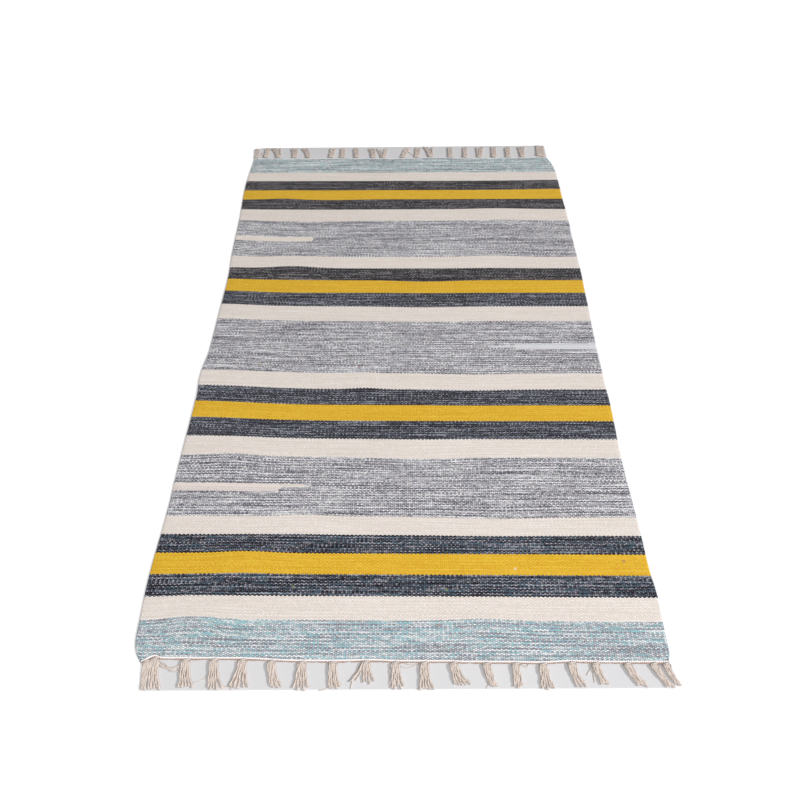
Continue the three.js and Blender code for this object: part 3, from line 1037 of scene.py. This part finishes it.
# %% [markdown]
# Each bead is a short arch of yarn: highest over its warp, and down to nothing along the slanted
# clefts around it. A cosine along each slant gives that arch, and its square root fills it out. The
# twist of the yarn is a fine slanted rib on it. Both make the bump's height later on.

# %% The arch of each bead
BEAD_HEIGHT = 0.55
TWIST_HEIGHT = 0.05
TWISTS_PER_BEAD = 2.0

slant_arches = []
for slant_place in slant_places:
    slant_turn = add(tree, "Math", {0: slant_place, 1: math.pi}, operation="MULTIPLY")
    slant_arches.append(add(tree, "Math", {0: slant_turn}, operation="COSINE"))
arches = add(
    tree, "Math", {0: slant_arches[0], 1: slant_arches[1]}, operation="MULTIPLY", use_clamp=True
)
bead = add(tree, "Math", {0: arches}, operation="SQRT")
twist = add(
    tree, "Math", {0: slant_places[0], 1: 2 * math.pi * TWISTS_PER_BEAD}, operation="MULTIPLY"
)
rib = add(tree, "Math", {0: twist}, operation="SINE")
height = add(
    tree, "Math", {0: rib, 1: TWIST_HEIGHT / BEAD_HEIGHT, 2: bead}, operation="MULTIPLY_ADD"
)
print("weave nodes with the arch:", len(tree.nodes))

# %% [markdown]
# A pick's shade comes from three noises: a long one for the streaks, a short one for the turns of the
# ply, and a random number for each bead, because a bead shows whichever yarn happens to lie on top.
# The weaver works with two shuttles in turn, and one of them carries the darker yarn. Inside a bead
# the darker ply lies to one side. The clefts are painted darker, as painted shade towards the yarn's
# dark shade, and the tops of the beads a touch lighter. The grooves between the warps are painted
# darker too, so the warps show as fine ribs along the rug. All this adds up to one number, from 0
# for the yarn's darkest ply to 1 for its lightest. Each gain says how strongly one cause counts.

# %% The shade of each bead
STREAK_LENGTH = 170.0
PLY_LENGTH = 16.0
PICK_SPREAD = 7.31  # carries each pick to its own part of the noise
STREAK_GAIN = 2.0
PLY_GAIN = 0.8
BEAD_GAIN = 0.54
SIDE_GAIN = 0.5
# painted shade: how far a cleft is pulled towards the yarn's dark shade
PAINTED_CLEFT_GAIN = 0.85
# painted shade in the grooves between the warps
GROOVE_SHADE_GAIN = 0.24  # how much darker it is between two warps
SHUTTLE_GAIN = 0.2  # how much darker one of the two shuttles is
CLEFT_ENDS = 0.9  # the height on the bead above which the cleft no longer counts
# painted light: how much lighter the tops of the beads are
PAINTED_CREST_GAIN = 0.12


def pick_noise(tree, length, detail):
    """Noise that runs along the picks and has nothing in common from one pick to the next."""
    along_pick = add(tree, "Math", {0: warp, 1: WARP_PITCH / length}, operation="MULTIPLY")
    own_part = add(tree, "Math", {0: pick, 1: PICK_SPREAD}, operation="MULTIPLY")
    place = add(tree, "CombineXYZ", {0: along_pick, 1: own_part})
    return add(
        tree,
        "TexNoise",
        {"Vector": place, "Scale": 1.0, "Detail": detail, "Roughness": 0.5},
        noise_dimensions="2D",
    )


streak = pick_noise(tree, STREAK_LENGTH, 1.0)
ply = pick_noise(tree, PLY_LENGTH, 1.0)
bead_name = add(tree, "CombineXYZ", {0: warp, 1: pick})
bead_chance = add(tree, "TexWhiteNoise", {"Vector": bead_name}, noise_dimensions="2D")
pick_round = add(
    tree, "Math", {0: pick, 1: 0.5 * math.pi, 2: 0.25 * math.pi}, operation="MULTIPLY_ADD"
)
shuttle = add(tree, "Math", {0: pick_round}, operation="SINE")
# painted shade: lighter over each warp, darker in the grooves between warps
painted_rib_shade = add(tree, "Math", {0: tooth, 1: tooth}, operation="MULTIPLY")
shade = 0.5 - (STREAK_GAIN + PLY_GAIN + BEAD_GAIN) / 2  # so that these three have their middle at 0.5
for cause, gain in (
    (streak, STREAK_GAIN),
    (ply, PLY_GAIN),
    (bead_chance, BEAD_GAIN),
    (shuttle, SHUTTLE_GAIN * math.sqrt(2)),
    (slant_places[0], SIDE_GAIN),
    (painted_rib_shade, GROOVE_SHADE_GAIN),
):
    shade = add(tree, "Math", {0: cause, 1: gain, 2: shade}, operation="MULTIPLY_ADD")
# painted shade: the clefts go dark, the tops of the beads a touch lighter
painted_cleft_shade = add(
    tree,
    "MapRange",
    {"Value": bead, 1: 0.0, 2: CLEFT_ENDS, 3: -PAINTED_CLEFT_GAIN, 4: PAINTED_CREST_GAIN - GROOVE_SHADE_GAIN / 2},
)
shade = add(tree, "Math", {0: shade, 1: painted_cleft_shade}, operation="ADD", use_clamp=True)
print("weave nodes with the shade:", len(tree.nodes))

# %% [markdown]
# The shade is turned into colour by way of four colour ramps. Each ramp holds one shade of every
# yarn, a stop for each stripe, and is read at the number of the stripe. The number from the last cell
# then mixes the dark, the middle and the light shade. A last noise says where the yarn's fourth ply
# comes up, which has a tint of its own.

# %% The colour of each bead
TINT_LENGTH = 26.0
TINT_FROM = 0.53
TINT_TO = 0.66


def stripe_colours(tree, shade_name):
    """The stripes as a colour ramp over their numbers, in one shade of each yarn."""
    ramp = add(tree, "ValToRGB", {0: stripe_share})
    ramp.color_ramp.interpolation = "CONSTANT"
    stops = ramp.color_ramp.elements
    for number, stripe in enumerate(STRIPES):
        stop = stops[number] if number < 1 else stops.new(number / len(STRIPES))
        stop.color = linear(shades_of[stripe["yarn"]][shade_name])
    stops.remove(stops[len(stops) - 1])
    return ramp


darks = stripe_colours(tree, "dark")
middles = stripe_colours(tree, "middle")
lights = stripe_colours(tree, "light")
lower = add(tree, "MapRange", {"Value": shade, 1: 0.0, 2: 0.5})
upper = add(tree, "MapRange", {"Value": shade, 1: 0.5, 2: 1.0})
dark_to_middle = add(tree, "Mix", {0: lower, 6: darks, 7: middles}, data_type="RGBA")
dark_to_light = add(
    tree, "Mix", {0: upper, 6: dark_to_middle.outputs[2], 7: lights}, data_type="RGBA"
)
tints = stripe_colours(tree, "tint")
tint_noise = pick_noise(tree, TINT_LENGTH, 0.0)
tinted = add(tree, "MapRange", {"Value": tint_noise, 1: TINT_FROM, 2: TINT_TO})
tint_share = add(tree, "Math", {0: tinted, 1: lower}, operation="MULTIPLY")
yarn_colour = add(
    tree, "Mix", {0: tint_share, 6: dark_to_light.outputs[2], 7: tints}, data_type="RGBA"
).outputs[2]
print("weave nodes with the colour:", len(tree.nodes))

# %% [markdown]
# The dashes and flecks lie over the stripes. A dash takes whole picks, each from the selvedge to its
# own end, and the picks in the dash's middle run furthest in. A fleck takes a bead or two and only
# half hides the yarn under it, as a bit of another fibre does that was spun in. Both are places in
# the weave, so they bend with the picks.

# %% Lay in the dashes and flecks
across_mm = add(tree, "Math", {0: warps, 1: WARP_PITCH}, operation="MULTIPLY")
pick_mm = add(tree, "Math", {0: pick, 1: PICK_PITCH}, operation="MULTIPLY")

for dash in DASHES:
    offset = add(tree, "Math", {0: pick_mm, 1: -dash["along"]}, operation="ADD")
    apart = add(tree, "Math", {0: offset}, operation="ABSOLUTE")
    share = add(tree, "Math", {0: apart, 1: 1 / dash["half_length"]}, operation="MULTIPLY")
    inside = add(tree, "Math", {0: share, 1: 1.0}, operation="LESS_THAN")
    blunt = add(tree, "Math", {0: share}, operation="SQRT")
    end = add(tree, "Math", {0: blunt, 1: dash["taper"], 2: dash["tip"]}, operation="MULTIPLY_ADD")
    out = add(tree, "Math", {0: across_mm, 1: dash["side"]}, operation="MULTIPLY")
    past = add(tree, "Math", {0: out, 1: end}, operation="GREATER_THAN")
    in_dash = add(tree, "Math", {0: inside, 1: past}, operation="MULTIPLY")
    part = add(tree, "Math", {0: in_dash, 1: DASH_PART}, operation="MULTIPLY")
    yarn_colour = add(
        tree, "Mix", {0: part, 6: yarn_colour, 7: linear(dash["colour"])}, data_type="RGBA"
    ).outputs[2]

for fleck in FLECKS:
    along = fleck["along"] - float(pushed(fleck["across"], fleck["along"]))
    beside = add(
        tree, "Math", {0: across_mm, 1: fleck["across"], 2: fleck["half_width"]}, operation="COMPARE"
    )
    level = add(tree, "Math", {0: pick_mm, 1: along, 2: fleck["half_length"]}, operation="COMPARE")
    in_fleck = add(tree, "Math", {0: beside, 1: level}, operation="MULTIPLY")
    part = add(tree, "Math", {0: in_fleck, 1: FLECK_PART}, operation="MULTIPLY")
    yarn_colour = add(
        tree, "Mix", {0: part, 6: yarn_colour, 7: linear(fleck["colour"])}, data_type="RGBA"
    ).outputs[2]
print("weave nodes with the dashes and flecks:", len(tree.nodes))

# %% [markdown]
# A little of the clefts' shadow is painted into the colour, because they never see the sky, and the
# tops of the beads are painted a touch lighter. Two yarns are never dyed quite alike either, so each
# bead leans a touch towards a hue of its own.

# %% Woven cotton
CLEFT_SHADE = 0.82  # how much of its colour a cleft keeps
# painted light: the tops of the beads are a touch lighter than their yarn
CREST_SHADE = 1.03
CREST_FROM = 0.8  # the height on the bead from which it has its full colour
BEAD_HUE = 0.05

relief = add(tree, "Bump", {"Height": height, "Distance": BEAD_HEIGHT * MM, "Strength": 0.9})
# painted shade in the clefts and a painted touch of light on the bead tops
cleft = add(
    tree, "MapRange", {"Value": bead, 1: 0.0, 2: CREST_FROM, 3: CLEFT_SHADE, 4: CREST_SHADE}
)
woven_colour = add(
    tree, "Mix", {0: 1.0, 6: yarn_colour, 7: cleft}, data_type="RGBA", blend_type="MULTIPLY"
)
woven_colour = add(
    tree,
    "Mix",
    {0: BEAD_HUE, 6: woven_colour.outputs[2], 7: bead_chance.outputs["Color"]},
    data_type="RGBA",
    blend_type="OVERLAY",
)
cotton = add(
    tree,
    "BsdfPrincipled",
    {
        "Base Color": woven_colour.outputs[2],
        "Roughness": 0.9,
        "Specular IOR Level": 0.15,
        "Sheen Weight": 0.05,
        "Sheen Roughness": 0.5,
        "Normal": relief,
    },
)
tree.links.new(cotton.outputs[0], output.inputs["Surface"])
print("weave nodes in all:", len(tree.nodes))
cloth.data.materials.append(weave)
for piece in selvedges:
    piece.data.materials.append(weave)

# %% [markdown]
# The headings and tassels are plied cotton, undyed. Its two plies show as slanted grooves, about four
# millimetres apart on a tassel's yarn and closer on the thinner yarns, and each groove is painted
# darker as painted shade. A groove follows the yarn's own map, so it turns with every bend. A soft
# noise, about a millimetre from spot to spot, keeps the cotton from looking like plastic. Three yarns
# are made of it: the bleached one of the headings, the natural one of the tassels, and the tan warps
# between them, whose colour is painted darker for the shadow that they lie in under the heading.

# %% Plied cotton
MOTTLE_SCALE = 900.0  # spots to a metre, so one about every 1.1 mm
MOTTLE_RANGE = {"darkest": 0.94, "lightest": 1.04}
MOTTLE_HEIGHT = 0.4  # as a share of the grooves' depth
PLY_DEPTH = 0.14
GROOVE_TO = 0.2  # where on the wave between two grooves the ply has its full colour


def plied_cotton(name, colour, groove_shade_colour, ply_pitch):
    """Undyed plied cotton: slanted grooves that follow the yarn, painted darker as painted shade, and a
    soft mottle. ply_pitch is the length of one whole turn of its two plies."""
    finish, tree, output = new_finish(name)
    place = add(tree, "UVMap", uv_map="yarn")
    split = add(tree, "SeparateXYZ", {0: place})
    turns = add(
        tree, "Math", {0: split.outputs["X"], 1: 1 / (ply_pitch * MM), 2: split.outputs["Y"]},
        operation="MULTIPLY_ADD",
    )
    phase = add(tree, "Math", {0: turns, 1: 4 * math.pi}, operation="MULTIPLY")
    wave = add(tree, "Math", {0: phase}, operation="COSINE")
    here = add(tree, "TexCoord")
    mottle = add(
        tree, "TexNoise", {"Vector": here.outputs["Object"], "Scale": MOTTLE_SCALE, "Detail": 3.0}
    )
    depth = add(tree, "MapRange", {"Value": wave, 1: -1.0, 2: GROOVE_TO})
    # painted shade: the grooves take the darker groove colour
    tint = add(tree, "Mix", {0: depth, 6: linear(groove_shade_colour), 7: linear(colour)}, data_type="RGBA")
    dark, light = MOTTLE_RANGE["darkest"], MOTTLE_RANGE["lightest"]
    vary = add(tree, "MapRange", {"Value": mottle, 1: 0.3, 2: 0.7, 3: dark, 4: light})
    tinted = add(
        tree, "Mix", {0: 1.0, 6: tint.outputs[2], 7: vary}, data_type="RGBA", blend_type="MULTIPLY"
    )
    height = add(tree, "Math", {0: mottle, 1: MOTTLE_HEIGHT, 2: depth}, operation="MULTIPLY_ADD")
    relief = add(tree, "Bump", {"Height": height, "Distance": PLY_DEPTH * MM, "Strength": 0.7})
    cotton = add(
        tree,
        "BsdfPrincipled",
        {
            "Base Color": tinted.outputs[2],
            "Roughness": 0.92,
            "Specular IOR Level": 0.2,
            "Sheen Weight": 0.15,
            "Normal": relief,
        },
    )
    tree.links.new(cotton.outputs[0], output.inputs["Surface"])
    return finish


heading_cotton = plied_cotton("bleached_plied_cotton", "fdfbfc", "efeaea", 5.0)
tassel_cotton = plied_cotton("natural_plied_cotton", "dccfc6", "d3c5bb", 8.0)
# painted shadow: the tan warp ends are darker than the tassels' cotton, for the shade under the heading
shadowed_warp_cotton = plied_cotton("tan_warp_cotton_in_painted_shadow", "c2a491", "987c6b", 4.0)
for piece in headings.values():
    piece.data.materials.append(heading_cotton)
for piece in [*tassels.values(), loose]:
    piece.data.materials.append(tassel_cotton)
for piece in gathered:
    piece.data.materials.append(shadowed_warp_cotton)
print("finishes:", len(bpy.data.materials))

# %% [markdown]
# The floor of a plain studio is a pale matt sweep. Under and close by the rug it is a light grey, and
# further out it is white as far as one can see, so out there it gives off a little light of its own.
# Only a thin dark line is left at the rug's foot, where the floor is too close to it to see the sky.
# An Ambient Occlusion node finds that place, whatever the rug's outline is.

# %% Floor
FLOOR_SIZE = 40.0  # this cell's lengths are in metres, but for the foot's reach
SHADE_MIDDLE = (0.004, 0.001, 0)
SHADE_BOX = (0.4335, 0.802, 0)  # the floor is grey this far from there, across and along
SHADE_TURN = math.radians(0.66)  # the grey lies a little askew under the rug
GLOWS = table("start end strength", (0.0, 0.005, 0.58), (0.05, 0.5, 0.35))  # out from the grey
FLOOR_COLOURS = ("d4d3d5", "d8d7d8")  # the paper is never quite even
FOOT_REACH = 10.0  # how far from the rug's foot its dark line reaches
FOOT_GLOW = 0.1  # the share of the white that is left at the very foot
FOOT_OPEN = (0.72, 0.95)  # how open to the sky the floor is inside the dark line, and past it

deselect_everything()
bpy.ops.mesh.primitive_plane_add(size=FLOOR_SIZE)
floor = bpy.context.object
floor.name = "floor"
paper, tree, output = new_finish("pale_matt_paper")
here = add(tree, "TexCoord")
grain = add(tree, "TexNoise", {"Vector": here.outputs["Object"], "Scale": 6.0, "Detail": 2.0})
tone = add(tree, "MapRange", {"Value": grain, 1: 0.3, 2: 0.7, 3: 0.0, 4: 1.0})
darker, lighter = [linear(code) for code in FLOOR_COLOURS]
sheet_colour = add(tree, "Mix", {0: tone, 6: darker, 7: lighter}, data_type="RGBA")
turned = add(
    tree,
    "VectorRotate",
    {"Vector": here.outputs["Object"], "Center": SHADE_MIDDLE, "Angle": -SHADE_TURN},
    rotation_type="Z_AXIS",
)
centred = add(tree, "VectorMath", {0: turned, 1: SHADE_MIDDLE}, operation="SUBTRACT")
far_out = add(tree, "VectorMath", {0: centred}, operation="ABSOLUTE")
beyond = add(tree, "VectorMath", {0: far_out, 1: SHADE_BOX}, operation="SUBTRACT")
ways = add(tree, "SeparateXYZ", {0: beyond})
away = add(tree, "Math", {0: ways.outputs["X"], 1: ways.outputs["Y"]}, operation="MAXIMUM")
glow_parts = [
    add(
        tree,
        "MapRange",
        {"Value": away, 1: part["start"], 2: part["end"], 3: 0.0, 4: part["strength"]},
        interpolation_type="SMOOTHSTEP",
    )
    for part in GLOWS
]
glow = add(tree, "Math", {0: glow_parts[0], 1: glow_parts[1]}, operation="ADD")
foot = add(tree, "AmbientOcclusion", {"Distance": FOOT_REACH * MM}, samples=8)
open_floor = add(
    tree,
    "MapRange",
    {"Value": foot.outputs["AO"], 1: FOOT_OPEN[0], 2: FOOT_OPEN[1], 3: FOOT_GLOW, 4: 1.0},
)
glow = add(tree, "Math", {0: glow, 1: open_floor}, operation="MULTIPLY")
matt = add(
    tree,
    "BsdfPrincipled",
    {
        "Base Color": sheet_colour.outputs[2],
        "Roughness": 0.95,
        "Emission Color": (1.0, 1.0, 1.0, 1.0),
        "Emission Strength": glow,
    },
)
tree.links.new(matt.outputs[0], output.inputs["Surface"])
floor.data.materials.append(paper)
print("the floor is", FLOOR_SIZE, "m wide")

# %% [markdown]
# The main light is a disk. It stands far away on the right, which gives each tassel its soft shadow
# on the left. A second one hangs over the near end, which is why the near end is brighter than the
# far end. The rest is even light from all round. Colours are shown as they are, with the plain view
# transform, because a filmic one would dull the white of the floor.

# %% Light
LIGHTS = table(
    "name place aim size power",
    ("key", (11.2, -1.5, 8.5), (0, 0, 0), 2.5, 1400.0),
    ("fill", (0.2, -2.0, 2.0), (0.2, -0.1, 0), 1.6, 28.8),
)
SKY_STRENGTH = 0.30

for row in LIGHTS:
    lamp_data = bpy.data.lights.new(row["name"], "AREA")
    lamp_data.shape = "DISK"
    lamp_data.size = row["size"]
    lamp_data.energy = row["power"]
    lamp = bpy.data.objects.new(row["name"], lamp_data)
    bpy.context.scene.collection.objects.link(lamp)
    lamp.location = row["place"]
    towards = Vector(row["aim"]) - Vector(row["place"])
    lamp.rotation_euler = towards.to_track_quat("-Z", "Y").to_euler()

sky = bpy.data.worlds.new("studio")
sky.use_nodes = True
sky_light = sky.node_tree.nodes["Background"]
sky_light.inputs["Color"].default_value = (1.0, 1.0, 1.0, 1.0)
sky_light.inputs["Strength"].default_value = SKY_STRENGTH
bpy.context.scene.world = sky
bpy.context.scene.view_settings.view_transform = "Standard"
print("lights:", len(LIGHTS))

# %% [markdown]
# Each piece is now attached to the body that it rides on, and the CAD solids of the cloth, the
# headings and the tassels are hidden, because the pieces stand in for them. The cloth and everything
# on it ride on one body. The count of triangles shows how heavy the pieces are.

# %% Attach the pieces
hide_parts("woven_body")
for end, piece in headings.items():
    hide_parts(end + "_heading")
for node, piece in tassels.items():
    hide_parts(node)
on_the_sheet = [*headings.values(), *selvedges, *tassels.values(), *gathered, loose]
for piece in [cloth, *on_the_sheet]:
    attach(piece, "root")

triangles = sum(len(p.vertices) - 2 for piece in [cloth, *on_the_sheet] for p in piece.data.polygons)
print("triangles in all:", triangles)
